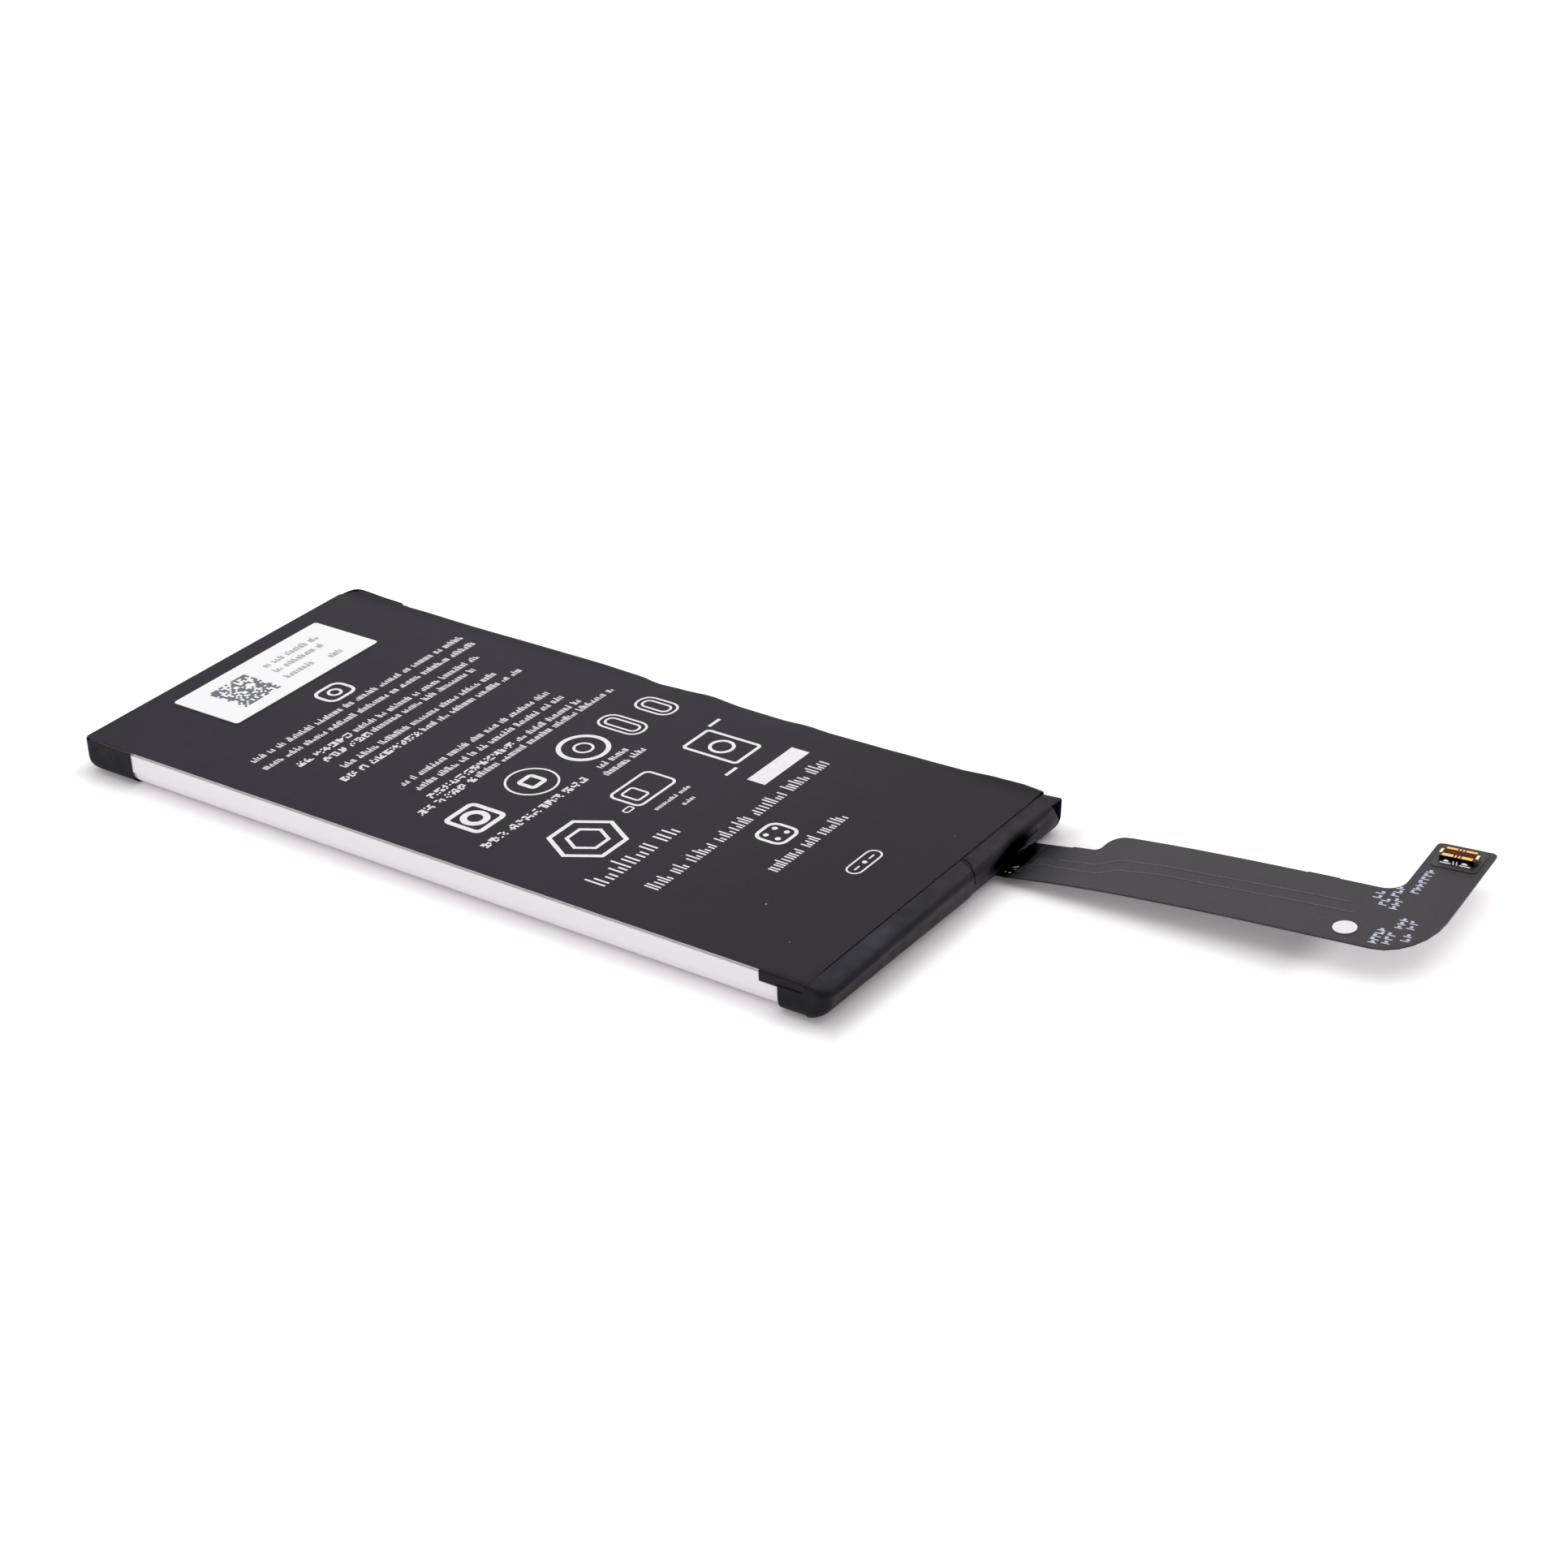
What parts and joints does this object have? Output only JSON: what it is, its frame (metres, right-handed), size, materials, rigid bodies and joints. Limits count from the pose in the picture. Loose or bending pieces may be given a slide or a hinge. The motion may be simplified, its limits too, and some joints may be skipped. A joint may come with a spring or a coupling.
{
  "type": "mobile phone battery",
  "caption": "Flat pouch battery for a phone: black label film over silver foil, a taped head end with its board, and a flat printed tail that turns to a board-to-board plug.",
  "frame": {"origin": "middle of the flat underside of the pack, without its tail, on the surface it rests on", "axes": "+X along the pack to the head end and the tail, +Y across it, +Z out of the printed face"},
  "size_m": [0.1421, 0.0567, 0.0045],
  "materials": {
    "silver_laminate": "nylon-faced aluminium laminate, silver, semi-matte",
    "label_black": "matte charcoal printed film",
    "tape_black": "black insulating tape, low sheen",
    "sticker_white": "white coated label stock and white ink",
    "board_green": "green solder mask over glass-epoxy board",
    "tab_film": "pale sealing film and foam",
    "tab_metal": "dull nickel",
    "bright_metal": "bright tinned metal",
    "chip_black": "black moulded chip body",
    "ceramic_tan": "tan ceramic",
    "flex_black": "black coverlay on a flexible printed circuit",
    "patch_black": "darker black coverlay and stiffener",
    "plug_black": "black moulded resin",
    "gold": "gold-plated contacts",
    "solder": "solder"
  },
  "bodies": {
    "root": {"pouch_cell": "silver_laminate", "label_film": "label_black", "tail_tape": "tape_black", "head_tape": "tape_black", "head_wrap": "tape_black", "exit_tape": "tape_black", "slot_lip": "tape_black", "code_sticker": "sticker_white", "index_dot": "sticker_white", "protection_board": "board_green", "board_insulator": "tab_film", "positive_tab": "tab_metal", "negative_tab": "tab_metal", "positive_tab_seal": "tab_film", "negative_tab_seal": "tab_film", "positive_weld_pad": "tab_metal", "negative_weld_pad": "tab_metal", "thermal_breaker": "bright_metal", "sense_resistor": "chip_black", "power_switch_1": "chip_black", "power_switch_2": "chip_black", "protection_ic": "chip_black", "capacitor_1": "ceramic_tan", "capacitor_2": "ceramic_tan", "thermistor": "chip_black", "flex_tail": "flex_black", "plug_patch": "patch_black", "plug_stiffener": "patch_black", "plug_housing": "plug_black", "plug_hold_down_1": "bright_metal", "plug_hold_down_2": "bright_metal", "power_contact_1": "gold", "power_contact_2": "gold", "power_contact_3": "gold", "power_contact_4": "gold", "signal_contact_1": "gold", "signal_contact_2": "gold", "signal_contact_3": "gold", "signal_contact_4": "gold", "power_solder_1": "solder", "power_solder_2": "solder", "power_solder_3": "solder", "power_solder_4": "solder", "signal_solder_1": "solder", "signal_solder_2": "solder", "signal_solder_3": "solder", "signal_solder_4": "solder"}
  },
  "joints": []
}
